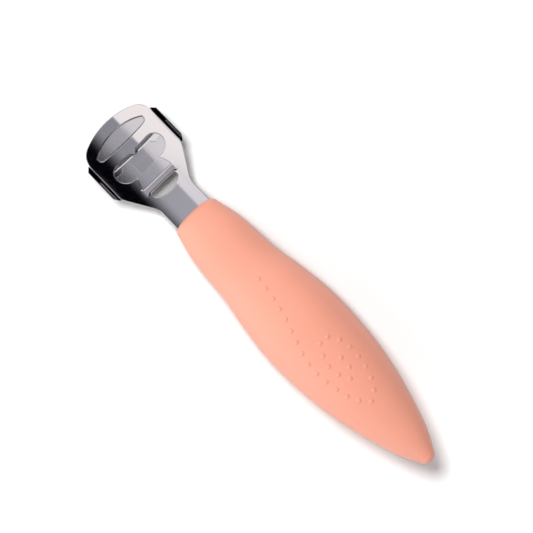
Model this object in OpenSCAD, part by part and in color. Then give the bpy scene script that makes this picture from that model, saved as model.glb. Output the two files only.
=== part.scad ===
// Callus shaver: a trough-shaped steel head with a replaceable arched blade, on a moulded grip.
// X runs across, Y along the tool towards the head, Z up, the hollow side of the head upwards.
// The tool lies on the belly of its grip and on the front edge of its sole, at Z = 0.

/* [Grip] */
// Length of the grip from the domed mouth to the tip
grip_l = 124; // [115:0.2:135]
// Width and thickness just behind the mouth
mouth_w = 19.2; // [17.6:0.1:21]
mouth_h = 13.6; // [13:0.1:15]
// Width and thickness at the waist, where the forefinger lies
waist_w = 25.4; // [22:0.1:27]
waist_h = 18; // [16:0.1:19]
// Distance of the waist from the mouth
waist_at = 25.6; // [22:0.1:30]
// Width and thickness of the belly
belly_w = 33.8; // [30:0.1:38]
belly_h = 25.4; // [22:0.1:29]
// Distance of the belly from the mouth
belly_at = 59.6; // [55:0.1:66]
// Width and thickness where the grip narrows into its tail
tail_w = 16.3; // [13:0.1:18]
tail_h = 12.2; // [10:0.1:14]
// Distance of that place from the tip
tail_from_tip = 12.4; // [10:0.2:15]
// Blunt width left at the tip, before it is rounded off
tip_w = 4.5; // [2:0.1:6]
// Length over which the mouth is domed
mouth_dome = 3; // [2:0.1:4]
// Exponents of the oval sections, 2 for an ellipse: above, and below where the grip is flatter
oval = 2.15; // [2:0.05:2.6]
oval_below = 2.8; // [2.4:0.05:3.2]

/* [Grip nubs] */
// Diameter of one nub at the surface
nub_d = 1.7; // [1.2:0.1:2.4]
// Height of a nub
nub_h = 0.45; // [0.3:0.05:0.8]
// Distance from nub to nub along their line
nub_pitch = 4.4; // [3.6:0.1:6]

/* [Head plate] */
// Radius of the hollow side of the head
trough_r = 20.8; // [19:0.1:24]
// Thickness of the plate
plate_t = 1; // [0.8:0.05:1.2]
// Width of the plate
plate_w = 30.4; // [28:0.1:33]
// Radius of its front edge, seen from above
front_r = 23.5; // [20:0.1:30]
// Radius of its two front corners
corner_r = 7.8; // [5:0.1:9]
// Length from the front edge to the start of the taper
shoulder_l = 25.5; // [25:0.1:28]
// Length of the taper between the shoulder and the neck
taper_l = 11.5; // [10:0.1:15]
// Radius of the bends at both ends of the taper
taper_r = 6; // [3:0.5:9]
// Width of the neck
neck_w = 15.9; // [15:0.1:17]
// Length of bare neck between the taper and the mouth
neck_l = 9; // [7:0.1:12]
// Length of the tang inside the grip
tang_l = 46; // [30:1:60]
// Room round the tang in the grip
tang_gap = 0.05; // [0.02:0.01:0.15]

/* [Openings of the head plate] */
// Distance from the front edge to the lens-shaped window, and its length
lens_from_front = 4.5; // [3.8:0.1:5.5]
lens_l = 5.8; // [4.5:0.1:6.2]
// Width of the lens-shaped window, and the radius of its front arc
lens_w = 22.4; // [18:0.1:24]
lens_r = 18.6; // [17:0.1:26]
// Radius of the rear corners of the lens
lens_corner = 1.3; // [0.6:0.1:2]
// Web of plate between the lens and the shaving window
web_l = 4.2; // [3.8:0.1:5]
// Length and width of the lobes of the shaving window
lobe_l = 8.3; // [7.6:0.1:8.8]
lobe_w = 22.4; // [20:0.1:24]
// Width of the stem of that window where it leaves the lobes, and at its end
stem_w = 10.8; // [9:0.1:12]
stem_end_w = 14.1; // [13:0.1:15]
// Length of the stem
stem_l = 4.9; // [4:0.1:6]
// Width and length of the pointed tab that marks the middle of the window
tab_w = 3.2; // [2:0.1:5]
tab_l = 1.6; // [0.8:0.1:2]
// Length of the flat strap across the trough behind the stem
strap_l = 2.9; // [2.4:0.1:3.4]
// Width between the ends of the strap
strap_w = 16.2; // [15.2:0.1:17]
// Width, length and rear radius of the half-moon hole
moon_w = 11.9; // [9:0.1:13]
moon_l = 4.2; // [3:0.1:5]
moon_r = 8.7; // [8:0.1:12]

/* [Blade and spring] */
// Width of the blade, from its edge to its back
blade_w = 9; // [8:0.1:9.4]
// Thickness of the blade
blade_t = 0.2; // [0.15:0.05:0.4]
// Length of the ground bevel at the edge
bevel_l = 0.8; // [0.4:0.1:1.2]
// Gap between the edge and the front of the shaving window
edge_gap = 0.6; // [0.4:0.05:0.9]
// Thickness of the spring
spring_t = 0.6; // [0.4:0.05:0.8]
// Distance of the front of the spring behind the edge of the blade
spring_back = 0.3; // [0.2:0.05:0.8]
// Length and width of the square notch in the spring
notch_l = 6.1; // [5:0.1:6.4]
notch_w = 6.7; // [5:0.1:8]
// Width of the raised front of the spring, and the length of its slanted sides
crest_w = 13.8; // [12:0.1:14.6]
crest_l = 2; // [1.4:0.1:2.4]

/* [Guard plate] */
// Thickness of the guard plate
guard_t = 0.8; // [0.6:0.05:1]
// Set-back of its outline behind that of the head plate
guard_inset = 1.2; // [0.8:0.1:2]
// Length of the side rails, and how far they stand out from the head plate
rail_l = 17; // [14:0.1:18]
rail_out = 1.9; // [1.8:0.05:2.4]
// Thickness of the rails
rail_t = 0.5; // [0.4:0.05:0.8]
// Distance from the front edge of the head to the rails
rail_from_front = 8.3; // [7.6:0.1:9]
// Length of the sloping ends of a rail
rail_slope = 2; // [1:0.1:3]
// How far a rail rises above the face of the guard plate
rail_rise = 0.5; // [0.3:0.05:1]
// Length and width of the slot for the blade in the sole
slot_l = 2.4; // [2:0.1:3]
slot_w = 24; // [22:0.1:25]
// Depth of the lens-shaped boss below the face of the head plate
boss_sink = 0.35; // [0.2:0.05:0.6]

/* [Fits] */
// Gap between curved sheets that lie on each other
sheet_gap = 0.05; // [0.03:0.01:0.1]
// Gap round the boss in its window, and at the ends of the blade
side_gap = 0.1; // [0.05:0.01:0.2]

/* [Hidden] */

steel = "silver";
satin = "darkgray";
peach = [0.98, 0.69, 0.58];

// Places along Y: the middle of the tool's length is at Y = 0
head_l = shoulder_l + taper_l + neck_l;
front_y = (grip_l + head_l) / 2;
mouth_y = front_y - head_l;
shoulder_y = front_y - shoulder_l;
neck_y = shoulder_y - taper_l;
lens_y = front_y - lens_from_front - lens_l;
window_y = lens_y - web_l;
lobe_rear_y = window_y - lobe_l;
strap_y = lobe_rear_y - stem_l;
moon_y = strap_y - strap_l;
edge_y = window_y - edge_gap;
spring_y = edge_y - spring_back;
rail_y = front_y - rail_from_front;

// The head is a trough round an axis along Y, and its neck runs through the middle of the mouth
grip_z = belly_h / 2;
neck_sag = trough_r - sqrt(trough_r * trough_r - neck_w * neck_w / 4);
axis_z = grip_z - (neck_sag - plate_t) / 2 + trough_r;
plate_r = trough_r + plate_t;
spring_r = plate_r + sheet_gap;
blade_r = spring_r + spring_t + sheet_gap;
guard_r = blade_r + blade_t + sheet_gap;
sole_r = guard_r + guard_t;
rail_x = plate_w / 2 + rail_out;

function depth(r, x) = axis_z - sqrt(r * r - x * x);

// Grip: width and thickness pass through a few stations [distance from the mouth, size]
function stations(mouth, waist, belly, tail, tip) = [
    [0, mouth - 1.2],
    [mouth_dome, mouth],
    [waist_at * 0.525, (mouth + 2.7 * waist) / 3.7],
    [waist_at, waist],
    [waist_at + 5.5, waist + (belly - waist) * 0.13],
    [(waist_at + belly_at) / 2, waist + (belly - waist) * 0.62],
    [belly_at, belly],
    [(belly_at + grip_l - tail_from_tip) / 2, belly + (tail - belly) * 0.225],
    [grip_l - tail_from_tip, tail],
    [grip_l, tip]
];
widths = stations(mouth_w, waist_w, belly_w, tail_w, tip_w);
heights = stations(mouth_h, waist_h, belly_h, tail_h, tip_w);

// Slope of a row of stations at station i, and the smooth curve through them at distance u
function slope(p, i) =
    let (a = p[max(i - 1, 0)], b = p[min(i + 1, len(p) - 1)])
    (b[1] - a[1]) / (b[0] - a[0]);
function span(p, u, i = 0) = i >= len(p) - 2 || u <= p[i + 1][0] ? i : span(p, u, i + 1);
function curve(p, u) =
    let (i = span(p, u), l = p[i + 1][0] - p[i][0], f = (u - p[i][0]) / l)
    p[i][1] * (1 + 2 * f) * (1 - f) * (1 - f) + l * slope(p, i) * f * (1 - f) * (1 - f)
    + p[i + 1][1] * f * f * (3 - 2 * f) - l * slope(p, i + 1) * f * f * (1 - f);

// Rounding of the two ends, as a factor from 0 at the end to 1
tip_dome = 1.6;
function dome(d, l, power) = d >= l ? 1 : pow(1 - pow(1 - d / l, power), 1 / power);
function ends(u) = dome(u, mouth_dome, 3.2) * dome(grip_l - u, tip_dome, 2);
function half_w(u) = curve(widths, u) / 2 * ends(u);
function half_h(u) = curve(heights, u) / 2 * ends(u);
function top_z(x, u) = grip_z + half_h(u) * pow(1 - pow(abs(x) / half_w(u), oval), 1 / oval);

sides = 40;
body_rings = 30;
dome_rings = 5;
ring_u = concat(
    [for (i = [0:dome_rings - 1]) mouth_dome * (1 - cos(90 * max(i, 0.15) / dome_rings))],
    [for (i = [0:body_rings]) mouth_dome + (grip_l - mouth_dome - tip_dome) * i / body_rings],
    [for (i = [dome_rings - 1:-1:0]) grip_l - tip_dome * (1 - cos(90 * max(i, 0.3) / dome_rings))]
);
function signed_pow(v, e) = sign(v) * pow(abs(v), e);
function ring(u) = [
    for (i = [0:sides - 1])
    let (a = 360 * (i + 0.5) / sides, e = a < 180 ? oval : oval_below)
    [half_w(u) * signed_pow(cos(a), 2 / e), mouth_y - u,
     grip_z + half_h(u) * signed_pow(sin(a), 2 / e)]
];

// The tool leans forward until the belly and the front edge of the sole are equally low
function low(p, a) = p[2] * cos(a) - p[1] * sin(a);
underside = [for (u = ring_u) ring(u)[sides * 3 / 4]];
sole_front = [0, front_y - guard_inset, axis_z - sole_r];
function settled(from, to, n = 20) =
    let (a = (from + to) / 2)
    n == 0 ? a
    : low(sole_front, a) > min([for (p = underside) low(p, a)]) ? settled(a, to, n - 1)
    : settled(from, a, n - 1);
lean = settled(0, 10);
module laid() {
    translate([0, -(axis_z - trough_r + grip_z) * sin(lean) / 2, -low(sole_front, lean)])
        rotate([-lean, 0, 0]) children();
}

// A closed skin over rings of points that all have n points
module loft(rings, n) {
    last = (len(rings) - 1) * n;
    polyhedron(
        points = [for (r = rings) each r],
        faces = concat(
            [[for (i = [0:n - 1]) i]],
            [for (k = [0:len(rings) - 2], i = [0:n - 1])
                let (j = (i + 1) % n) [k * n + i, (k + 1) * n + i, (k + 1) * n + j, k * n + j]],
            [[for (i = [n - 1:-1:0]) last + i]]
        )
    );
}

// The line of nubs: a tail from the waist that winds into an open spiral on the belly
nub_line = [
    [0.7, 34.9], [-0.5, 43.8], [-2.4, 52.2], [-5.5, 61.3], [-7.7, 69.8], [-7.3, 79], [-5, 88.2],
    [-0.1, 94.2], [5, 88.4], [7.2, 80], [6.8, 71.5], [2.4, 65.7], [-2, 71], [-3, 77.1],
    [-0.3, 83.2], [2.6, 79], [2.4, 75.6]
];
function along(p, s) =
    let (n = len(p) - 1, i = min(floor(s), n - 1), f = s - i,
         a = p[max(i - 1, 0)], b = p[i], c = p[i + 1], d = p[min(i + 2, n)])
    0.5 * (2 * b + (c - a) * f + (2 * a - 5 * b + 4 * c - d) * f * f
        + (3 * b - a - 3 * c + d) * f * f * f);
nub_steps = 400;
nub_track = [for (k = [0:nub_steps]) along(nub_line, k * (len(nub_line) - 1) / nub_steps)];
function run(p, k = 1, so_far = [0]) =
    k >= len(p) ? so_far : run(p, k + 1, concat(so_far, [so_far[k - 1] + norm(p[k] - p[k - 1])]));
nub_run = run(nub_track);
track_x = [for (k = [0:nub_steps]) [nub_run[k], nub_track[k][0]]];
track_u = [for (k = [0:nub_steps]) [nub_run[k], nub_track[k][1]]];
nub_count = floor(nub_run[nub_steps] / nub_pitch) + 1;

// One nub: a low dome whose foot is sunk in the grip
nub_sides = 10;
module nub(x, u) {
    across = atan(top_z(x + 0.5, u) - top_z(x - 0.5, u));
    forward = atan(top_z(x, u - 0.5) - top_z(x, u + 0.5));
    translate([x, mouth_y - u, top_z(x, u)])
    rotate([forward, -across, 0])
    hull() {
        translate([0, 0, -0.5]) cylinder(d = nub_d, h = 0.5, $fn = nub_sides);
        translate([0, 0, nub_h * 0.7]) cylinder(d = nub_d * 0.6, h = 0.01, $fn = nub_sides);
        translate([0, 0, nub_h - 0.01]) cylinder(d = nub_d * 0.25, h = 0.01, $fn = 6);
    }
}

module grip() {
    color(peach)
    laid()
    difference() {
        union() {
            loft([for (u = ring_u) ring(u)], sides);
            for (k = [0:nub_count - 1])
                nub(lookup(k * nub_pitch, track_x), lookup(k * nub_pitch, track_u));
        }
        intersection() {
            tube(trough_r - tang_gap, plate_r + tang_gap);
            translate([-neck_w / 2 - tang_gap, mouth_y - tang_l - tang_gap, 0])
                cube([neck_w + 2 * tang_gap, tang_l + 5, axis_z]);
        }
    }
}

// Part of a tube round the axis of the trough
module tube(inner, outer) {
    translate([0, front_y + 1, axis_z])
    rotate([90, 0, 0])
    difference() {
        cylinder(r = outer, h = grip_l + head_l, $fn = 120);
        translate([0, 0, -1]) cylinder(r = inner, h = grip_l + head_l + 2, $fn = 120);
    }
}

// A sheet bent to the trough, cut to the flat shape that is given as its child
module sheet(inner, outer) {
    intersection() {
        tube(inner, outer);
        linear_extrude(height = axis_z - 1) children();
    }
}

// Rounds a corner of the outline at b, between a and c
function bend(a, b, c, r, n = 5) =
    let (u = (a - b) / norm(a - b), v = (c - b) / norm(c - b),
         half = acos(u * v) / 2, m = (u + v) / norm(u + v), o = b + m * r / sin(half),
         start = atan2((b + u * r / tan(half) - o)[1], (b + u * r / tan(half) - o)[0]),
         stop = atan2((b + v * r / tan(half) - o)[1], (b + v * r / tan(half) - o)[0]),
         turn = stop - start > 180 ? stop - start - 360
             : stop - start < -180 ? stop - start + 360 : stop - start)
    [for (i = [0:n]) o + r * [cos(start + turn * i / n), sin(start + turn * i / n)]];

// Right-hand side of the head, the taper and the neck, set back by d
function flank(d, end_y) = concat(
    bend([plate_w / 2 - d, front_y], [plate_w / 2 - d, shoulder_y], [neck_w / 2 - d, neck_y], taper_r),
    bend([plate_w / 2 - d, shoulder_y], [neck_w / 2 - d, neck_y], [neck_w / 2 - d, end_y], taper_r),
    [[neck_w / 2 - d, end_y]]
);
module both_sides(points) {
    polygon(concat(points, [for (i = [len(points) - 1:-1:0]) [-points[i][0], points[i][1]]]));
}

// Front of the head: a wide arc between two round corners, set back by d
front_mid = front_y - front_r;
corner_x = plate_w / 2 - corner_r;
corner_y = front_mid + sqrt(pow(front_r - corner_r, 2) - corner_x * corner_x);
module head_front(d) {
    for (side = [-1, 1])
        translate([side * corner_x, corner_y]) circle(r = corner_r - d, $fn = 96);
    intersection() {
        translate([0, front_mid]) circle(r = front_r - d, $fn = 200);
        polygon([[0, front_mid], 2 * [-corner_x, corner_y - front_mid] + [0, front_mid],
            2 * [corner_x, corner_y - front_mid] + [0, front_mid]]);
    }
}
module head_outline(d, end_y) {
    head_front(d);
    both_sides(concat([[plate_w / 2 - d, corner_y]], flank(d, end_y)));
}

// The lens-shaped window, grown by g
module lens(g = 0) {
    half = lens_w / 2 + g;
    r = lens_corner + g;
    intersection() {
        translate([0, lens_y + lens_l - lens_r]) circle(r = lens_r + g, $fn = 160);
        union() {
            translate([-half + r, lens_y - g]) square([2 * (half - r), lens_l * 2]);
            translate([-half, lens_y - g + r]) square([2 * half, lens_l * 2]);
            for (side = [-1, 1])
                translate([side * (half - r), lens_y - g + r]) circle(r = r, $fn = 48);
        }
    }
}

// Two lobes and a straight band between them
module lobes(w, l, y) {
    translate([-(w - l) / 2, y]) square([w - l, l]);
    for (side = [-1, 1])
        translate([side * (w - l) / 2, y + l / 2]) circle(d = l, $fn = 72);
}

// The shaving window: lobes, a flared stem, and a pointed tab in the middle of its front
module shaving_window() {
    difference() {
        union() {
            lobes(lobe_w, lobe_l, lobe_rear_y);
            both_sides([[stem_w / 2, lobe_rear_y + 1], [stem_w / 2, lobe_rear_y],
                [stem_end_w / 2, strap_y]]);
        }
        polygon([[-tab_w / 2, window_y + 0.1], [tab_w / 2, window_y + 0.1], [0, window_y - tab_l]]);
    }
}

module half_moon() {
    r = 0.5;
    intersection() {
        translate([0, moon_y - moon_l + moon_r]) circle(r = moon_r, $fn = 120);
        union() {
            translate([-moon_w / 2, moon_y - moon_l]) square([moon_w, moon_l - r]);
            translate([-moon_w / 2 + r, moon_y - moon_l]) square([moon_w - 2 * r, moon_l]);
            for (side = [-1, 1])
                translate([side * (moon_w / 2 - r), moon_y - r]) circle(r = r, $fn = 32);
        }
    }
}

// The strap lies flat across the trough and runs into the plate at both ends
strap_z = depth(trough_r, strap_w / 2);
strap_root = 0.3;
module strap() {
    intersection() {
        translate([-strap_w / 2 - strap_root, moon_y, strap_z - plate_t])
            cube([strap_w + 2 * strap_root, strap_l, plate_t]);
        tube(0.1, plate_r);
    }
}

module head_plate() {
    color(steel)
    laid() {
        sheet(trough_r, plate_r)
        difference() {
            head_outline(0, mouth_y - tang_l);
            lens();
            shaving_window();
            translate([-strap_w / 2 + strap_root, moon_y])
                square([strap_w - 2 * strap_root, strap_l]);
            half_moon();
        }
        strap();
    }
}

// The spring: a tee that presses the blade down, with its tail turned up under the strap
spring_w = lobe_w + 2.4;
arms_y = spring_y - crest_l;
spring_stem = stem_end_w + 1.2;
spring_rear = moon_y + strap_l * 0.4;
lip_l = 0.8;
module spring_outline() {
    rear = lobe_rear_y - 0.8;
    difference() {
        both_sides([[crest_w / 2, spring_y], [crest_w / 2 + 1.2, arms_y], [spring_w / 2, arms_y],
            [spring_w / 2, rear], [spring_stem / 2, rear], [spring_stem / 2, spring_rear]]);
        translate([-notch_w / 2, spring_y - notch_l]) square([notch_w, notch_l + 1]);
    }
}
module spring() {
    color(satin)
    laid() {
        sheet(spring_r, spring_r + spring_t) spring_outline();
        intersection() {
            translate([-spring_stem / 2, spring_rear, 0])
                cube([spring_stem, lip_l, strap_z - plate_t - sheet_gap]);
            tube(0.1, spring_r + spring_t);
        }
    }
}

// The blade: a flexible strip bent to the trough, with one ground edge
module blade() {
    half_angle = asin((rail_x - rail_t - side_gap) / (blade_r + blade_t));
    color(steel)
    laid()
    translate([0, 0, axis_z])
    rotate([-90, -90 - half_angle, 0])
    rotate([0, 0, 180])
    rotate_extrude(angle = 2 * half_angle, $fn = 120)
        polygon([
            [blade_r, edge_y - blade_w], [blade_r + blade_t, edge_y - blade_w],
            [blade_r + blade_t, edge_y], [blade_r + blade_t - 0.02, edge_y],
            [blade_r, edge_y - bevel_l]
        ]);
}

// The guard: the sole of the head, with rails at its sides and a boss that fills the lens window
guard_end = strap_y + 0.6;
rail_root = plate_w / 2 + 0.4;
module rail_outline() {
    both_sides([[rail_root - 3, rail_y], [rail_root, rail_y], [rail_x, rail_y - rail_slope],
        [rail_x, rail_y - rail_l + rail_slope], [rail_root, rail_y - rail_l],
        [rail_root - 3, rail_y - rail_l]]);
}
module guard_outline() {
    intersection() {
        head_outline(guard_inset, mouth_y);
        translate([-plate_w, guard_end]) square([2 * plate_w, head_l]);
    }
    rail_outline();
}
// The rails stand up along the edges of the guard and hold the ends of the blade
rail_foot_z = depth(guard_r, rail_x - rail_t) - 0.3;
rail_top_z = depth(guard_r, rail_x) + rail_rise;
module rails() {
    intersection() {
        translate([0, 0, rail_foot_z])
            linear_extrude(height = rail_top_z - rail_foot_z)
            difference() {
                rail_outline();
                translate([rail_t - rail_x, 0]) square([2 * (rail_x - rail_t), front_y]);
            }
        tube(0.1, sole_r);
    }
}
boss_wall = guard_t;
boss_r = trough_r + boss_sink;
weld_d = 2.4;
weld_x = 11;
weld_y = edge_y - blade_w - 0.4 - weld_d / 2;
module guard_plate() {
    color(satin)
    laid() {
        difference() {
            union() {
                sheet(guard_r, sole_r)
                difference() {
                    guard_outline();
                    lobes(slot_w, slot_l, edge_y - slot_l / 2 + 0.2);
                }
                sheet(boss_r, sole_r) lens(-side_gap);
            }
            sheet(boss_r + boss_wall, sole_r + 1) lens(-side_gap - boss_wall);
        }
        for (side = [-1, 1])
            sheet(spring_r, guard_r + guard_t / 2)
            translate([side * weld_x, weld_y]) circle(d = weld_d, $fn = 48);
        rails();
    }
}

grip();
head_plate();
guard_plate();
blade();
spring();
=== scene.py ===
import bpy
import numpy as np
from mathutils import Matrix, Vector, geometry


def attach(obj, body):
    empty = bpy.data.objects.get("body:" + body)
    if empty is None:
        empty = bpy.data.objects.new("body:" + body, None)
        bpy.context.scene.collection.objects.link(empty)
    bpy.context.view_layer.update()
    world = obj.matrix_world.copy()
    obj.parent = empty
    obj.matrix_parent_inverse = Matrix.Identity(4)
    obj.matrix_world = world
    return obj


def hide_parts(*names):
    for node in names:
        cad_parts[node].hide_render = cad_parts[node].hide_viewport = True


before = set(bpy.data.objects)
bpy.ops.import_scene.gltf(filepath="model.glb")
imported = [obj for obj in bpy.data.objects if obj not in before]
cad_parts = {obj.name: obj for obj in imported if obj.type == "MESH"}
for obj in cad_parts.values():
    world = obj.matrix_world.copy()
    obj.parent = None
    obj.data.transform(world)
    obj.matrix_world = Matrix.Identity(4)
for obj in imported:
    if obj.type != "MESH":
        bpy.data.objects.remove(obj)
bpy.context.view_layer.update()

# Head plate: polished stainless strip, punched, rolled to a trough round an axis along Y, and
# pushed into the grip with its tang. Its edges are tumbled round, and the strap over the trough
# is pressed flat out of the same strip.


class Value:
    """A socket that takes arithmetic. Any other node comes from node(), and without a socket
    a value only starts a tree."""

    def __init__(self, tree, socket=None):
        self.tree, self.socket = tree, socket

    def node(self, kind, inputs=(), out=0, **settings):
        made = self.tree.nodes.new(kind)
        for name, setting in settings.items():
            setattr(made, name, setting)
        for place, given in dict(inputs).items():
            if isinstance(given, Value):
                self.tree.links.new(given.socket, made.inputs[place])
            else:
                made.inputs[place].default_value = given
        return Value(self.tree, made.outputs[out])

    def maths(self, operation, first, second=0.0):
        return self.node("ShaderNodeMath", {0: first, 1: second}, operation=operation)

    def __add__(self, other):
        return self.maths("ADD", self, other)

    def __radd__(self, other):
        return self.maths("ADD", other, self)

    def __sub__(self, other):
        return self.maths("SUBTRACT", self, other)

    def __rsub__(self, other):
        return self.maths("SUBTRACT", other, self)

    def __mul__(self, other):
        return self.maths("MULTIPLY", self, other)

    def __rmul__(self, other):
        return self.maths("MULTIPLY", other, self)

    def __truediv__(self, other):
        return self.maths("DIVIDE", self, other)

    def __rtruediv__(self, other):
        return self.maths("DIVIDE", other, self)

    def __pow__(self, other):
        return self.maths("POWER", self, other)

    def __rpow__(self, other):
        return self.maths("POWER", other, self)

    def __abs__(self):
        return self.maths("ABSOLUTE", self)

    def axes(self):
        """The x, y and z of a vector."""
        return [self.node("ShaderNodeSeparateXYZ", {0: self}, out=k) for k in range(3)]

    def ramp(self, low, high, start=0.0, stop=1.0):
        """start below low, stop above high, and a smooth step between them."""
        return self.node("ShaderNodeMapRange", {0: self, 1: low, 2: high, 3: start, 4: stop},
                         interpolation_type="SMOOTHSTEP")

    def blend(self, first, second):
        """The colour first where this value is 0, and second where it is 1."""
        return self.node("ShaderNodeMix", {0: self, 6: first, 7: second}, out=2, data_type="RGBA")


def material(name, **constants):
    """A Principled material with these sockets set, and a value in object coordinates, in mm."""
    made = bpy.data.materials.new(name)
    made.use_nodes = True
    surface = made.node_tree.nodes["Principled BSDF"]
    for socket, constant in constants.items():
        surface.inputs[socket.replace("_", " ")].default_value = constant
    metres = Value(made.node_tree).node("ShaderNodeTexCoord", out="Object")
    here = metres.node("ShaderNodeVectorMath", {0: metres, 3: 1000.0}, operation="SCALE")
    return made, surface, here


def plug(value, surface, socket):
    value.tree.links.new(value.socket, surface.inputs[socket])


def drawn_lines(here, scale, detail):
    """Noise drawn out into the fine lines that rolling or polishing leaves."""
    drawn = here.node("ShaderNodeMapping", {"Vector": here, "Scale": scale})
    return drawn.node("ShaderNodeTexNoise", {"Vector": drawn, "Scale": 1.0, "Detail": detail})


# Clear reflections, with the faint lines of polishing along the tool
polished, surface, here = material("polished_steel", Metallic=1.0, Roughness=0.1,
                                   Base_Color=(0.86, 0.85, 0.86, 1))
plug(drawn_lines(here, (3.0, 0.05, 3.0), 3.0).ramp(0.3, 0.7, 0.08, 0.11), surface, "Roughness")

# Every piece is worked out in mm with the tool level, X across it and Y towards the head. Then
# it leans forward, as the tool lies on its belly and on the front edge of its sole.
lean = np.radians(5.46429)
lie = (Matrix.Translation((0, -0.00119557, -0.00163659)) @ Matrix.Rotation(-lean, 4, "X")
       @ Matrix.Scale(0.001, 4))

# The trough's axis and the radius of its upper and lower face, then the outline of the strip
axis_z, trough_r, plate_r = 33.21, 20.8, 21.8
front_y, shoulder_y, neck_y, mouth_y, tang_l = 85.0, 59.5, 48.0, 39.0, 46.0
half_w, corner_r, front_r, neck_half, neck_r = 15.2, 7.8, 23.5, 7.95, 6
strip_edge = 0.36
front_mid = front_y - front_r
corner_x = half_w - corner_r
corner_y = front_mid + np.sqrt((front_r - corner_r) ** 2 - corner_x ** 2)
# The lens window at the front
lens_y, lens_l, lens_half, lens_r, lens_corner = 74.7, 5.8, 11.2, 18.6, 1.3
# The blade window: two round lobes, and a stem that runs back to the strap
window_y, lobe_rear, lobe_l, lobe_half, crease = 70.5, 62.2, 8.3, 11.2, 1.6
stem_half, stem_end = 5.4, 7.05
lobe_x, lobe_mid = lobe_half - lobe_l / 2, lobe_rear + lobe_l / 2
# The strap, level between ends that run up into the trough with a wide fillet
strap_y, strap_l, strap_half, strap_drop = 57.3, 2.9, 8.1, 0.75
fillet_l, fillet_rate = 1.9, 0.2037
strap_level = np.sqrt(trough_r ** 2 - strap_half ** 2) + fillet_rate / 2 * fillet_l ** 2
# The half-moon hole behind the strap
moon_y, moon_l, moon_half, moon_r, moon_corner = 54.4, 4.2, 5.95, 8.7, 0.5
moon_mid = moon_y - moon_l + moon_r
moon_reach = np.degrees(np.arccos(moon_half / moon_r))


def unit(rows):
    """Rows of vectors, each made one long."""
    return rows / np.linalg.norm(rows, axis=1)[:, None]


def arc(centre, radius, start, stop, step=0.45):
    """Points on an arc, from start to stop in degrees."""
    count = max(int(abs(np.radians(stop - start)) * radius / step), 4)
    turn = np.radians(np.linspace(start, stop, count + 1))
    return np.c_[centre[0] + radius * np.cos(turn), centre[1] + radius * np.sin(turn)]


def bend(before, corner, after, radius):
    """A rounded corner between two straight lines."""
    before, corner, after = map(np.array, (before, corner, after))
    u = (before - corner) / np.linalg.norm(before - corner)
    v = (after - corner) / np.linalg.norm(after - corner)
    half = np.arccos(u @ v) / 2
    centre = corner + (u + v) / np.linalg.norm(u + v) * radius / np.sin(half)
    spokes = [corner + way * radius / np.tan(half) - centre for way in (u, v)]
    first, last = (np.degrees(np.arctan2(spoke[1], spoke[0])) for spoke in spokes)
    return arc(centre, radius, first, first + (last - first + 180) % 360 - 180)


def mirrored(right):
    """The closed outline whose right half runs from the middle line round to the middle line."""
    left = right[::-1] * (-1, 1)
    return np.r_[right, left[np.abs(left[:, 0]) > 1e-6]]


def head_edge(back, end_y):
    """Right half of the outline of the head, from the middle of its rear end to its front."""
    tang, shoulder, side = (neck_half - back, neck_y), (half_w - back, shoulder_y), half_w - back
    turn = np.degrees(np.arctan2(corner_y - front_mid, corner_x))
    return np.vstack([
        [[0, end_y], [neck_half - back, end_y]],
        bend((neck_half - back, end_y), tang, shoulder, neck_r),
        bend(tang, shoulder, (side, front_y), neck_r),
        arc((corner_x, corner_y), corner_r - back, 0, turn)[:-1],
        arc((0, front_mid), front_r - back, turn, 90),
    ])


def lens(grow):
    """Right half of the lens, from the middle of its rear edge to the middle of its front arc."""
    half, low, radius = lens_half + grow, lens_y - grow, lens_corner + grow
    # The front arc meets the upright side
    reach = np.degrees(np.arccos(half / (lens_r + grow)))
    return np.vstack([
        [[0, low]],
        arc((half - radius, low + radius), radius, -90, 0, 0.2),
        arc((0, lens_y + lens_l - lens_r), lens_r + grow, reach, 90),
    ])


def strip_height(radius, drop):
    """Heights of a face of the strip: the trough, and the strap where it crosses it."""
    front_slope, front_band, rear_slope, rear_band = 0.22, 0.6, 0.25, 0.5
    fade, run_out, past_end = 0.7, 0.5, 0.15

    def height(points):
        x, y = points.T
        reach = np.minimum(np.abs(x), 0.98 * radius)
        trough = axis_z - np.sqrt(radius ** 2 - reach ** 2)
        fillet = np.clip(reach - (strap_half - fillet_l), 0, None)
        strap = axis_z - strap_level - drop + fillet_rate / 2 * fillet ** 2
        # The strap's front and rear edges are eased, except at its ends
        ease = (front_slope * np.clip(y - strap_y + front_band, 0, None)
                + rear_slope * np.clip(moon_y + rear_band - y, 0, None))
        strap = strap - ease * np.clip((stem_end - reach) / fade, 0, 1)
        near = np.clip(1 - np.maximum(y - strap_y, moon_y - y) / run_out, 0, 1)
        near = near * near * (3 - 2 * near) * (reach < strap_half + past_end)
        return trough + near * np.clip(strap - trough, 0, None)
    return height


def pressed(height):
    """Heights and upward normals of a face, from its heights alone."""
    step = 0.01

    def place(points):
        slopes = [(height(points + way) - height(points - way)) / (2 * step)
                  for way in ((step, 0), (0, step))]
        return height(points), unit(np.c_[-slopes[0], -slopes[1], np.ones(len(points))])
    return place


def offset(loop, distance):
    """The loop moved to its right-hand side."""
    along = unit(np.roll(loop, -1, 0) - loop)
    out = np.c_[along[:, 1], -along[:, 0]]
    both = unit(out + np.roll(out, 1, 0))
    spread = np.clip(np.sum(both * out, axis=1), 0.5, 1)
    return loop + both * (distance / spread)[:, None]


def inside(points, loops):
    """Whether each point lies in the area that the loops bound, by the even-odd rule."""
    odd = np.zeros(len(points), bool)
    for loop in loops:
        for a, b in zip(loop, np.roll(loop, -1, 0)):
            if a[1] != b[1]:
                crosses = (a[1] > points[:, 1]) != (b[1] > points[:, 1])
                reach = a[0] + (points[:, 1] - a[1]) * (b[0] - a[0]) / (b[1] - a[1])
                odd ^= crosses & (points[:, 0] < reach)
    return odd


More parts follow.
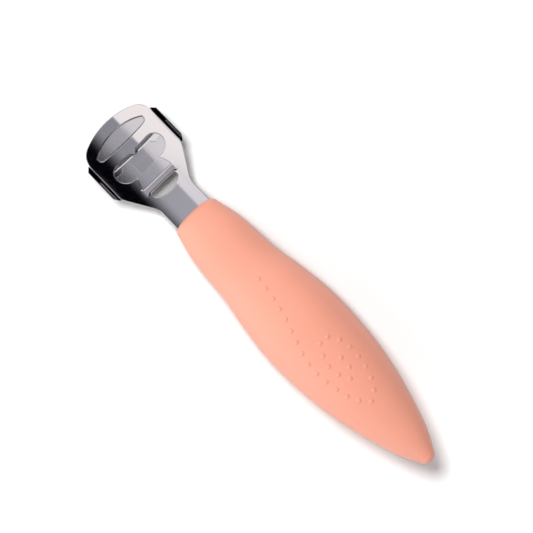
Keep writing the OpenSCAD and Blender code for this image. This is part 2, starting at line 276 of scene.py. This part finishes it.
def filled(loops, folds):
    """Points and triangles over the area between the loops, cut into narrow strips along Y, so
    that it can be bent, and across at the folds."""
    # The nudge keeps the cuts off the loops' own points
    strip, nudge = 0.8, 0.0013
    low, high = np.vstack(loops).min(0), np.vstack(loops).max(0)
    points, edges = [], []
    for loop in loops:
        base = len(points)
        points += [Vector(p) for p in loop]
        edges += [(base + k, base + (k + 1) % len(loop)) for k in range(len(loop))]
    cuts = [((x + nudge, low[1] - 1), (x + nudge, high[1] + 1))
            for x in np.arange(np.ceil(low[0] / strip) * strip, high[0], strip)]
    cuts += [((low[0] - 1, y), (high[0] + 1, y)) for y in folds]
    for cut in cuts:
        points += [Vector(end) for end in cut]
        edges.append((len(points) - 2, len(points) - 1))
    points, _, faces = geometry.delaunay_2d_cdt(points, edges, [], 0, 1e-4)[:3]
    points = np.array([tuple(p) for p in points])
    faces = np.array([f for f in faces if len(f) == 3])
    faces = faces[inside(points[faces].mean(1), loops)]
    used = np.unique(faces)
    return points[used], np.searchsorted(used, faces)


def plate(loops, top, bottom, edge, folds=()):
    """A closed plate with rounded edges, as points, faces and normals. It covers the area
    between the loops: the outer one runs anticlockwise, and holes run clockwise."""
    level_points, faces = filled([offset(loop, -edge) for loop in loops], folds)
    count = len(level_points)
    # The border of that area, and the way out of it at each of its points
    sides = {tuple(s) for s in np.vstack([faces[:, [0, 1]], faces[:, [1, 2]], faces[:, [2, 0]]])}
    following = {a: b for a, b in sides if (b, a) not in sides}
    out = np.zeros_like(level_points)
    for a, b in following.items():
        along = level_points[b] - level_points[a]
        side = np.array((along[1], -along[0])) / max(np.linalg.norm(along), 1e-9)
        out[a] += side
        out[b] += side
    border = np.array(sorted(following))
    place_of = {k: n for n, k in enumerate(border)}
    length = np.linalg.norm(out[border], axis=1)
    away = out[border] / length[:, None]
    reach = 2 / np.clip(length, 1, 2)
    # Both faces, then the rows of the rounded edge below the upper and above the lower one
    verts, normals = [], []
    for face, sign in ((top, 1), (bottom, -1)):
        z, up = face(level_points)
        verts.append(np.c_[level_points, z])
        normals.append(sign * up)
    rows, steps, total = [], 4, 2 * count
    for face, sign in ((top, 1), (bottom, -1)):
        for turn in np.pi / 2 * np.arange(1, steps + 1) / steps:
            spot = level_points[border] + away * (edge * reach * np.sin(turn))[:, None]
            z, up = face(spot)
            verts.append(np.c_[spot, z - sign * edge * (1 - np.cos(turn))])
            outward = np.c_[away, 0 * away[:, 0]]
            normals.append(unit(outward * np.sin(turn) + sign * up * np.cos(turn)))
            rows.append(np.arange(total, total + len(border)))
            total += len(border)
    ladder = [border] + rows[:steps] + rows[:steps - 1:-1] + [border + count]
    shell = [tuple(f) for f in faces] + [tuple(f[::-1] + count) for f in faces]
    for upper, lower in zip(ladder[:-1], ladder[1:]):
        for a, b in following.items():
            i, j = place_of[a], place_of[b]
            shell.append((upper[i], lower[i], lower[j], upper[j]))
    return np.vstack(verts), shell, np.vstack(normals)


def linked(name, content):
    """A new object in the scene."""
    made = bpy.data.objects.new(name, content)
    bpy.context.collection.objects.link(made)
    return made


def piece(name, shells, finish):
    """One object from (points, faces, normals) shells, laid down as the tool lies."""
    verts = np.vstack([shell[0] for shell in shells])
    normals = np.vstack([shell[2] for shell in shells])
    faces, base = [], 0
    for points, own, _ in shells:
        faces += [tuple(int(k) + base for k in f) for f in own]
        base += len(points)
    mesh = bpy.data.meshes.new(name)
    mesh.from_pydata(verts.tolist(), [], faces)
    mesh.polygons.foreach_set("use_smooth", [True] * len(faces))
    mesh.materials.append(finish)
    mesh.transform(lie)
    turned = normals @ np.array(lie.to_3x3().normalized()).T
    mesh.normals_split_custom_set_from_vertices(turned.tolist())
    return linked(name, mesh)


half_moon = np.vstack([
    [[0, moon_mid - moon_r]],
    arc((0, moon_mid), moon_r, -90, -moon_reach, 0.3),
    arc((moon_half - moon_corner, moon_y - moon_corner), moon_corner, 0, 90, 0.1),
    [[0, moon_y]],
])
window = np.vstack([
    [[0, strap_y], [stem_end, strap_y], [stem_half, lobe_rear]],
    arc((lobe_x, lobe_mid), lobe_l / 2, -90, 90, 0.35),
    [[crease, window_y], [0, window_y - crease]],
])
outline = mirrored(head_edge(0, mouth_y - tang_l))
holes = [mirrored(hole)[::-1] for hole in (lens(0), window, half_moon)]
# The mesh is cut across where the strap's heights change
strap_folds = np.r_[moon_y + np.array((-0.5, -0.25, 0.48, 0.52)),
                    strap_y + np.array((-1.4, -0.62, -0.58, 0.25, 0.5))]
head = plate([outline, *holes], pressed(strip_height(trough_r, 0)),
             pressed(strip_height(plate_r, strap_drop)), strip_edge, strap_folds)
head_plate = piece("head_plate_visual", [head], polished)
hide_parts("head_plate")
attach(head_plate, "root")

# Spring: a tee of satin sheet steel under the head plate, bent to the same axis, that presses
# the blade down. Its tail is turned up into a lip that hooks behind the strap.
satin, surface, here = material("satin_steel", Metallic=1.0, Roughness=0.27,
                                Base_Color=(0.74, 0.73, 0.76, 1))
plug(drawn_lines(here, (6.0, 0.15, 6.0), 3.0).ramp(0.3, 0.7, 0.25, 0.28), surface, "Roughness")
# Painted shade: beside the head plate, inside the rails, the sheet is coloured near black for the
# shade in the deep gap there. The height is that of the trough's axis above the object's origin,
# with the lean turned back.
leaned_axis_z = 31.47
level = here.node("ShaderNodeMapping", {"Vector": here, "Rotation": (lean, 0, 0)})
x, _, z = level.axes()
reach = abs(x)
from_axis = (x * x + (z - leaned_axis_z) * (z - leaned_axis_z)) ** 0.5
painted_gap_shade = (reach.ramp(15.3, 15.5) * reach.ramp(16.8, 16.98, 1.0, 0.0)
          * from_axis.ramp(22.9, 23.1, 1.0, 0.0))
# The near-black colour here is painted shade, not the sheet's own colour.
plug(painted_gap_shade.blend((0.74, 0.73, 0.76, 1), (0.008, 0.007, 0.008, 1)), surface, "Base Color")


def curved(radius):
    """Heights and upward normals of a sheet bent round the axis of the trough."""
    def place(points):
        across = np.clip(points[:, 0] / radius, -0.98, 0.98)
        rise = np.sqrt(1 - across ** 2)
        return axis_z - radius * rise, np.c_[-across, 0 * across, rise]
    return place


def flat(height):
    """Heights and upward normals of a level face."""
    def place(points):
        return np.full(len(points), float(height)), np.tile((0.0, 0.0, 1.0), (len(points), 1))
    return place


def rectangle(half, rear, front):
    return np.array([(-half, rear), (half, rear), (half, front), (-half, front)])


blade_edge = window_y - 0.6
crest_y = blade_edge - 1.25
arms_y, arms_rear = crest_y - 1.4, lobe_rear - 0.8
notch_half, notch_y = 3.35, crest_y - 6.1
crest_half, crest_foot, arm_half = 6.9, 8.1, 12.4
tail_half, tail_y = 7.65, moon_y + strap_l * 0.4
spring_r, spring_sole_r, spring_edge = 21.85, 22.45, 0.2
tee = np.array([
    (0, tail_y), (tail_half, tail_y), (tail_half, arms_rear), (arm_half, arms_rear),
    (arm_half, arms_y), (crest_foot, arms_y), (crest_half, crest_y), (notch_half, crest_y),
    (notch_half, notch_y), (0, notch_y),
])
tee_plate = plate([mirrored(tee)], curved(spring_r), curved(spring_sole_r), spring_edge)
lip_half, lip_t, lip_foot_r, lip_edge, lip_back, lip_drop = 7.6, 0.8, 22.3, 0.1, 0.02, 0.8
lip_top = axis_z - strap_level - lip_drop
lip_plate = plate([rectangle(lip_half, tail_y + lip_back, tail_y + lip_t)], flat(lip_top),
                  curved(lip_foot_r), lip_edge)
spring = piece("spring_visual", [tee_plate, lip_plate], satin)
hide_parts("spring")
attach(spring, "root")

# Guard plate: the sole of the head, of satin steel. A slot lets the blade through, a pressed
# boss fills the lens window from below, and two rails stand up beside the head plate.
guard_r, sole_r, sole_inset, sole_edge_r = 22.75, 23.55, 1.2, 0.15
guard_y, sole_half = strap_y + 0.6, half_w - sole_inset
rail_x, rail_t, rail_root, rail_edge, rail_proud, rail_sunk = 17.1, 0.5, 15.6, 0.12, 0.5, 0.3
rail_y, rail_l, rail_slope, rail_cut = 76.7, 17.0, 2.0, 1.4
rail_rear = rail_y - rail_l
slot_y, slot_l, slot_half = blade_edge - 0.9, 2.4, 12.0
boss_r, boss_t, boss_gap, boss_edge = 21.15, 0.8, 0.1, 0.15
skirt_top, skirt_short, skirt_lap, skirt_edge = 0.3, 0.03, 0.05, 0.05
dimple_x, dimple_y, dimple_r, dimple_edge = 11, blade_edge - 10.6, 1.2, 0.2
dimple_top_r, dimple_foot_r = 22.0, guard_r + 0.4

sole_side = head_edge(sole_inset, mouth_y)
front_part = sole_side[sole_side[:, 1] > rail_y]
rear_part = sole_side[(sole_side[:, 1] > guard_y) & (sole_side[:, 1] < rail_rear)]
rear_half = np.interp(guard_y, sole_side[2:, 1], sole_side[2:, 0])
rail_lug = np.array([
    (sole_half, rail_rear), (rail_root, rail_rear), (rail_x, rail_rear + rail_slope),
    (rail_x, rail_y - rail_slope), (rail_root, rail_y), (sole_half, rail_y),
])
sole = mirrored(np.vstack([[[0, guard_y], [rear_half, guard_y]], rear_part, rail_lug, front_part]))
slot = mirrored(np.vstack([
    [[0, slot_y - slot_l / 2]],
    arc((slot_half - slot_l / 2, slot_y), slot_l / 2, -90, 90, 0.3),
    [[0, slot_y + slot_l / 2]],
]))
sole_hole = mirrored(lens(-boss_gap - boss_t - skirt_lap))
sole_plate = plate([sole, slot[::-1], sole_hole[::-1]], curved(guard_r), curved(sole_r),
                   sole_edge_r)
boss = mirrored(lens(-boss_gap))
boss_cap = plate([boss], curved(boss_r), curved(boss_r + boss_t), boss_edge)
boss_skirt = plate([boss, mirrored(lens(-boss_gap - boss_t))[::-1]], curved(boss_r + skirt_top),
                   curved(sole_r - skirt_short), skirt_edge)
rail_foot = axis_z - np.sqrt(guard_r ** 2 - (rail_x - rail_t) ** 2) - rail_sunk
rail_top = axis_z - np.sqrt(guard_r ** 2 - rail_x ** 2) + rail_proud
rail = np.array([
    (rail_x - rail_t, rail_rear + rail_cut), (rail_x, rail_rear + rail_slope),
    (rail_x, rail_y - rail_slope), (rail_x - rail_t, rail_y - rail_cut),
])
rails = [plate([rail[::side] * (side, 1)], flat(rail_top), flat(rail_foot), rail_edge)
         for side in (1, -1)]
dimple = arc((dimple_x, dimple_y), dimple_r, 0, 345, 0.3)
dimples = [plate([dimple[::side] * (side, 1)], curved(dimple_top_r), curved(dimple_foot_r),
                 dimple_edge) for side in (1, -1)]
guard_shells = [sole_plate, boss_cap, boss_skirt, *rails, *dimples]
guard_plate = piece("guard_plate_visual", guard_shells, satin)
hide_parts("guard_plate")
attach(guard_plate, "root")

# Blade: a thin flexible strip of bright rolled steel, held arched between the spring and the
# guard, with its ends against the rails. Its front edge is ground.
blade_steel, surface, here = material("blade_steel", Metallic=1.0, Roughness=0.16,
                                      Base_Color=(0.8, 0.8, 0.82, 1))
plug(drawn_lines(here, (0.1, 5.0, 0.1), 2.0).ramp(0.3, 0.7, 0.12, 0.2), surface, "Roughness")
blade_r, blade_t, blade_w, blade_gap, blade_nose = 22.5, 0.2, 9, 0.12, 0.02
bevel_l, bevel_slope, bevel_fold = 0.8, 0.2, 0.02
blade_half = rail_x - rail_t - blade_gap
bevel_y = blade_edge - bevel_l


def blade_top(points):
    """The upper face, whose ground bevel falls to the edge."""
    z, up = curved(blade_r)(points)
    fall = np.clip(points[:, 1] - bevel_y, 0, None)
    tilt = up + np.c_[0 * fall, np.where(fall > 0, bevel_slope, 0), 0 * fall]
    return z - bevel_slope * fall, unit(tilt)


blade_shell = plate([rectangle(blade_half, blade_edge - blade_w, blade_edge)], blade_top,
                    curved(blade_r + blade_t), blade_nose,
                    (bevel_y - bevel_fold, bevel_y + bevel_fold))
blade = piece("blade_visual", [blade_shell], blade_steel)
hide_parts("blade")
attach(blade, "root")

# Grip: a soft-touch moulding over the tang, in one piece. Its width and thickness run smoothly
# through a few stations, and its sections are ovals. The skin is peach, with a very fine grain.
soft_touch, surface, here = material("soft_touch", Roughness=0.46, IOR=1.6,
                                     Specular_IOR_Level=1.0, Base_Color=(0.9, 0.36, 0.25, 1))
grain = here.node("ShaderNodeTexNoise", {"Vector": here, "Scale": 1.6, "Detail": 3.0})
tone = grain.ramp(0.3, 0.7).blend((0.89, 0.353, 0.244, 1), (0.91, 0.367, 0.255, 1))
plug(tone, surface, "Base Color")
plug(grain.ramp(0.3, 0.7, 0.44, 0.5), surface, "Roughness")
fine = here.node("ShaderNodeTexNoise", {"Vector": here, "Scale": 9.0, "Detail": 2.0})
bump = fine.node("ShaderNodeBump", {"Height": fine, "Distance": 0.00001, "Strength": 0.5})
plug(bump, surface, "Normal")

grip_l, grip_z, oval, oval_below = 124.0, 12.7, 2.15, 2.8
mouth_dome, mouth_power, tip_dome, tip_power = 3.0, 3.2, 1.6, 2
# Distance from the mouth, and full width or height there
width = np.array([(0, 18.0), (3, 19.2), (13.44, 23.724), (25.6, 25.4), (31.1, 26.492),
                  (42.6, 30.608), (59.6, 33.8), (85.6, 29.863), (111.6, 16.3), (124, 4.5)])
height = np.array([(0, 12.4), (3, 13.6), (13.44, 16.811), (25.6, 18.0), (31.1, 18.962),
                   (42.6, 22.588), (59.6, 25.4), (85.6, 22.43), (111.6, 12.2), (124, 4.5)])


def through(stations, u):
    """The smooth curve through the stations at distance u from the mouth."""
    x, y = stations.T
    place = np.arange(len(x))
    before, after = np.maximum(place - 1, 0), np.minimum(place + 1, len(x) - 1)
    slope = (y[after] - y[before]) / (x[after] - x[before])
    k = np.clip(np.searchsorted(x, u, "right") - 1, 0, len(x) - 2)
    span = x[k + 1] - x[k]
    f = (u - x[k]) / span
    return (y[k] * (1 + 2 * f) * (1 - f) ** 2 + span * slope[k] * f * (1 - f) ** 2
            + y[k + 1] * f * f * (3 - 2 * f) - span * slope[k + 1] * f * f * (1 - f))


def domed(distance, length, power):
    """From 0 at an end of the grip to 1 where its dome is over."""
    inner = np.clip(distance / length, 0, 1)
    return (1 - (1 - inner) ** power) ** (1 / power)


def half_size(stations, u):
    """Half the width or height at distance u from the mouth, rounded off at both ends."""
    ends = domed(u, mouth_dome, mouth_power) * domed(grip_l - u, tip_dome, tip_power)
    return through(stations, u) / 2 * ends


def skin(u, turn):
    """Points of the skin at distances u from the mouth and turns round the section."""
    c, s = np.cos(turn), np.sin(turn)
    power = 2 / np.where(s > 0, oval, oval_below)
    return np.stack([half_size(width, u) * np.sign(c) * np.abs(c) ** power, mouth_y - u,
                     grip_z + half_size(height, u) * np.sign(s) * np.abs(s) ** power], -1)


rings_in_dome, rings_between, columns, first_turn = 13, 260, 160, 0.06
inwards = 1 - np.cos(np.linspace(first_turn, np.pi / 2, rings_in_dome + 1)[:-1])
stops = np.r_[mouth_dome * inwards, np.linspace(mouth_dome, grip_l - tip_dome, rings_between),
              grip_l - tip_dome * inwards[::-1]]
turns = np.linspace(0, 2 * np.pi, columns + 1)[:-1]
points = skin(*np.meshgrid(stops, turns, indexing="ij"))
down = np.gradient(points, axis=0)
across = (np.roll(points, -1, 1) - np.roll(points, 1, 1)) / 2
normals = np.cross(down, across)
normals /= np.maximum(np.linalg.norm(normals, axis=2), 1e-12)[..., None]
cell = np.arange(len(stops) * columns).reshape(len(stops), columns)
next_cell = np.roll(cell, -1, 1)
quads = np.stack([cell[:-1], cell[1:], next_cell[1:], next_cell[:-1]], -1).reshape(-1, 4)
caps = [tuple(cell[0]), tuple(cell[-1][::-1])]
shell = (points.reshape(-1, 3), [tuple(q) for q in quads] + caps, normals.reshape(-1, 3))
grip = piece("grip_visual", [shell], soft_touch)
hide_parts("grip")
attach(grip, "root")

# Nubs: low domes moulded on the grip, along a line that winds into an open spiral on the belly.
# A polyline on the skin carries the line and its normals, and the nodes set one dome per step.
line = np.array([
    (0.7, 34.9), (-0.5, 43.8), (-2.4, 52.2), (-5.5, 61.3), (-7.7, 69.8), (-7.3, 79), (-5, 88.2),
    (-0.1, 94.2), (5, 88.4), (7.2, 80), (6.8, 71.5), (2.4, 65.7), (-2, 71), (-3, 77.1),
    (-0.3, 83.2), (2.6, 79), (2.4, 75.6),
])
between = 25
padded = np.vstack([line[:1], line, line[-1:]])
track = []
for a, b, c, d in zip(padded[:-3], padded[1:-2], padded[2:-1], padded[3:]):
    f = np.linspace(0, 1, between + 1)[:-1, None]
    track.append(0.5 * (2 * b + (c - a) * f + (2 * a - 5 * b + 4 * c - d) * f ** 2
                        + (3 * b - a - 3 * c + d) * f ** 3))
track_x, track_u = np.vstack(track + [line[-1:]]).T


def top_of(x, u):
    """The point of the upper skin above x."""
    rise = (1 - (np.abs(x) / half_size(width, u)) ** oval) ** (1 / oval)
    return np.stack([x, mouth_y - u, grip_z + half_size(height, u) * rise], -1)


step = 0.2
spots = top_of(track_x, track_u)
side = top_of(track_x + step, track_u) - top_of(track_x - step, track_u)
back = top_of(track_x, track_u - step) - top_of(track_x, track_u + step)
away = unit(np.cross(side, back))
guide = bpy.data.meshes.new("nub_line")
guide.from_pydata(spots.tolist(), [(k, k + 1) for k in range(len(spots) - 1)], [])
guide.transform(lie)
up = guide.attributes.new("up", "FLOAT_VECTOR", "POINT")
up.data.foreach_set("vector", (away @ np.array(lie.to_3x3().normalized()).T).ravel())
nub_line = linked("nub_line", guide)

# The nubs' sizes, in metres
nub_sizes = {"Pitch": 0.0044, "Diameter": 0.0018, "Height": 0.00034}
nub_tree = bpy.data.node_groups.new("nubs", "GeometryNodeTree")
nub_tree.interface.new_socket("Line", in_out="INPUT", socket_type="NodeSocketGeometry")
for name in nub_sizes:
    nub_tree.interface.new_socket(name, in_out="INPUT", socket_type="NodeSocketFloat")
nub_tree.interface.new_socket("Finish", in_out="INPUT", socket_type="NodeSocketMaterial")
nub_tree.interface.new_socket("Nubs", in_out="OUTPUT", socket_type="NodeSocketGeometry")
line_in, pitch, diameter, nub_height, finish = (
    Value(nub_tree).node("NodeGroupInput", out=k) for k in range(5))
normal = line_in.node("GeometryNodeInputNamedAttribute", {"Name": "up"}, data_type="FLOAT_VECTOR")
curve = line_in.node("GeometryNodeMeshToCurve", {"Mesh": line_in})
steps = curve.node("GeometryNodeResampleCurve", {"Curve": curve, "Length": pitch}, mode="LENGTH")
dome = line_in.node("GeometryNodeMeshUVSphere", {"Segments": 24, "Rings": 14, "Radius": 0.5})
dome = dome.node("GeometryNodeSetShadeSmooth", {"Geometry": dome})
turn = normal.node("FunctionNodeAlignRotationToVector", {"Vector": normal}, axis="Z")
size = diameter.node("ShaderNodeCombineXYZ", {0: diameter, 1: diameter, 2: 2 * nub_height})
made = steps.node("GeometryNodeInstanceOnPoints",
                  {"Points": steps, "Instance": dome, "Rotation": turn, "Scale": size})
made = made.node("GeometryNodeRealizeInstances", {"Geometry": made})
made = made.node("GeometryNodeSetMaterial", {"Geometry": made, "Material": finish})
nub_tree.links.new(made.socket, nub_tree.nodes.new("NodeGroupOutput").inputs[0])
modifier = nub_line.modifiers.new("nubs", "NODES")
modifier.node_group = nub_tree
named = {s.name: s.identifier for s in nub_tree.interface.items_tree if s.in_out == "INPUT"}
for name, setting in (*nub_sizes.items(), ("Finish", soft_touch)):
    modifier[named[name]] = setting
bpy.context.view_layer.update()
evaluated = nub_line.evaluated_get(bpy.context.evaluated_depsgraph_get())
solid = bpy.data.meshes.new_from_object(evaluated)
nub_line.modifiers.clear()
bpy.data.objects.remove(nub_line)
nubs = linked("grip_nubs", solid)
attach(nubs, "root")

# Floor: a wide pale sheet of paper. For camera rays it is lifted a little, so that it is white
# away from the shadows, and a painted shadow darkens it where the tool stands close above it.
left_x, right_x, half_l = -0.6, 0.16, 0.6
corners = [(left_x, -half_l, 0), (right_x, -half_l, 0), (right_x, half_l, 0), (left_x, half_l, 0)]
floor_mesh = bpy.data.meshes.new("floor")
floor_mesh.from_pydata(corners, [], [(0, 1, 2, 3)])
floor = linked("floor", floor_mesh)
paper_colour = (0.8, 0.8, 0.8, 1)
paper, surface, _ = material("paper", Roughness=0.9, Specular_IOR_Level=0.1,
                             Base_Color=paper_colour)
seen = Value(paper.node_tree).node("ShaderNodeLightPath", out="Is Camera Ray")
open_sky = seen.node("ShaderNodeAmbientOcclusion", {"Distance": 0.012}, out=1, samples=12)
# Painted shadow: where ambient occlusion finds the tool close above, the camera colour goes dark.
paper_with_painted_shadow = open_sky.ramp(0.32, 0.64).blend((0.06, 0.065, 0.06, 1), (1.03, 1.035, 1.035, 1))
plug(seen.blend(paper_colour, paper_with_painted_shadow), surface, "Base Color")
floor_mesh.materials.append(paper)

# Light: the steel mirrors a bright left side, grey overhead and a dark right side, with more
# contrast towards the tip of the head, and a pale band ahead, a dark one behind and a dark
# skyline. Everything else gets plain pale light, and one soft lamp stands ahead of the head.
world = bpy.data.worlds.new("studio")
bpy.context.scene.world = world
world.use_nodes = True
direction = Value(world.node_tree).node("ShaderNodeTexCoord", out="Generated")
x, y, z = direction.axes()
aside = x / (x * x + z * z + 0.0001) ** 0.5
on_left, on_right = aside.ramp(-0.38, -0.29, 1.0, 0.0), aside.ramp(0.3, 0.86)
ahead = y.ramp(0.3, 0.42) * y.ramp(0.66, 0.8, 1.0, 0.0)
behind = y.ramp(-0.24, -0.14, 1.0, 0.0) * y.ramp(-0.7, -0.5)
skyline = y.ramp(0.78, 0.86)
along = (y / (z + 1.001)).ramp(0.119, 0.136)
dark = (0.01, 0.01, 0.015, 1)
overhead = along.blend((0.41, 0.41, 0.46, 1), (0.25, 0.245, 0.275, 1))
window_side = along.blend((0.72, 0.7, 0.74, 1), (0.99, 0.925, 0.91, 1))
mirrored_light = on_left.blend(on_right.blend(overhead, (0.0005, 0.0005, 0.002, 1)), window_side)
mirrored_light = ahead.blend(behind.blend(mirrored_light, dark), (0.95, 0.92, 0.91, 1))
mirrored_light = skyline.blend(mirrored_light, dark)
left, right = aside.ramp(-0.98, -0.4, 1.0, 0.0), aside.ramp(0.3, 0.9)
plain_light = right.blend((0.17, 0.17, 0.18, 1), (0.3, 0.29, 0.29, 1))
plain_light = left.blend(plain_light, (1.45, 1.44, 1.42, 1))
camera_ray = direction.node("ShaderNodeLightPath", out="Is Camera Ray")
glossy_ray = direction.node("ShaderNodeLightPath", out="Is Glossy Ray")
colour = camera_ray.blend(glossy_ray.blend(plain_light, mirrored_light), (1, 1, 1, 1))
plug(colour, world.node_tree.nodes["Background"], "Color")

lamp_data = bpy.data.lights.new("lamp", "AREA")
lamp_data.shape = "DISK"
lamp_data.size = 0.38
lamp_data.energy = 9.0
lamp = linked("lamp", lamp_data)
lamp.location = (0.03, 0.36, 0.98)
lamp.rotation_euler = (-lamp.location).to_track_quat("-Z", "Y").to_euler()
lamp.visible_glossy = False

# Camera: straight above, turned so that the tool lies across the picture from upper left to
# lower right.
camera_data = bpy.data.cameras.new("camera")
camera_data.lens = 166.85
camera = linked("camera", camera_data)
sideways, upward = Vector((0.71973, -0.69425, 0)), Vector((0.69425, 0.71973, 0))
turned = Matrix((sideways, upward, (0, 0, 1))).transposed().to_4x4()
camera.matrix_world = Matrix.Translation((0.00584, 0.0062, 0.9)) @ turned
bpy.context.scene.camera = camera
bpy.context.scene.view_settings.view_transform = "Standard"
